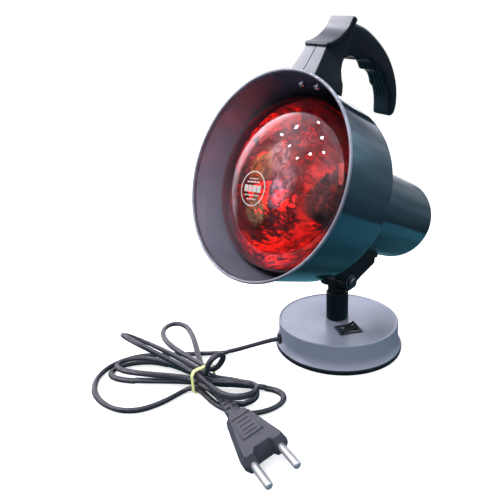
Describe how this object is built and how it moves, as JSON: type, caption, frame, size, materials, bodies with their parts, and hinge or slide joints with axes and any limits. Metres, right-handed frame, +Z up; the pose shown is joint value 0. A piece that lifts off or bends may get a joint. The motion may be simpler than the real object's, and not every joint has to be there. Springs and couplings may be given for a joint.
{
  "type": "infrared heat therapy lamp",
  "caption": "Infrared heat lamp: a red domed reflector bulb in a round shade with a carrying handle, tilting on a post over a weighted round base with a rocker switch and a plugged cord.",
  "frame": {"origin": "middle of the base's flat underside, on the table", "axes": "+Z up, X along the tilt axis, the beam leaves towards -Y and is pitched up at rest"},
  "size_m": [0.2118, 0.2993, 0.2603],
  "materials": {
    "grey_paint": "satin hammered",
    "blue_paint": "gloss",
    "black_plastic": "satin",
    "switch_plastic": "satin",
    "cord_sheath": "satin",
    "plug_plastic": "satin",
    "black_rubber": "matte",
    "ballast_iron": "rough",
    "screw_steel": "plated",
    "contact_brass": "bright",
    "porcelain": "glazed",
    "red_glass": "polished",
    "clear_glass": "polished",
    "filament_wire": "dull",
    "red_lead": "satin",
    "blue_lead": "satin",
    "tie_plastic": "satin"
  },
  "bodies": {
    "base": {"base_shell": "grey_paint", "base_bottom_cover": "black_plastic", "ballast_ring": "ballast_iron", "base_screw_1": "screw_steel", "base_screw_2": "screw_steel", "base_screw_3": "screw_steel", "cord_grommet": "black_rubber", "inner_cord": "cord_sheath", "cord_clamp": "black_plastic", "cord_clamp_screw": "screw_steel", "switch_body": "switch_plastic", "switch_terminal_in": "contact_brass", "switch_terminal_out": "contact_brass", "lead_live": "red_lead", "lead_switched": "red_lead", "lead_neutral": "blue_lead", "post": "black_plastic", "post_washer": "screw_steel", "post_nut": "screw_steel", "cord_free": "cord_sheath", "cord_hank": "cord_sheath", "cord_tie": "tie_plastic", "plug_strain_relief": "plug_plastic", "plug_body": "plug_plastic", "plug_pin_1": "screw_steel", "plug_pin_2": "screw_steel"},
    "head": {"friction_washer_left": "black_rubber", "friction_washer_right": "black_rubber", "pivot_bolt": "screw_steel", "bolt_washer_right": "screw_steel", "bolt_washer_left": "screw_steel", "pivot_nut": "screw_steel", "tilt_bracket": "black_plastic", "bracket_screw_front": "screw_steel", "bracket_screw_rear": "screw_steel", "shade_shell": "blue_paint", "rear_housing": "blue_paint", "housing_screw_top": "screw_steel", "housing_screw_bottom": "screw_steel", "bulb_glass": "red_glass", "bulb_cap": "contact_brass", "bulb_stem": "clear_glass", "bulb_filament": "filament_wire", "lampholder_body": "porcelain", "lampholder_sleeve": "contact_brass", "lampholder_contact": "contact_brass", "holder_plate": "screw_steel", "holder_screw_left": "screw_steel", "holder_screw_right": "screw_steel", "head_lead_left": "red_lead", "head_lead_right": "blue_lead", "handle": "black_plastic", "handle_screw_left": "screw_steel", "handle_screw_right": "screw_steel"},
    "rocker": {"switch_rocker": "switch_plastic"}
  },
  "joints": [
    {"name": "head_tilt", "type": "hinge", "parent": "base", "child": "head", "pos_m": [0, 0, 0.061], "axis": [1, 0, 0], "range_deg": [-35, 30]},
    {"name": "switch_rock", "type": "hinge", "parent": "base", "child": "rocker", "pos_m": [0.02139, -0.01389, 0.024], "axis": [-0.8387, 0.5446, 0], "range_deg": [0, 22]}
  ]
}
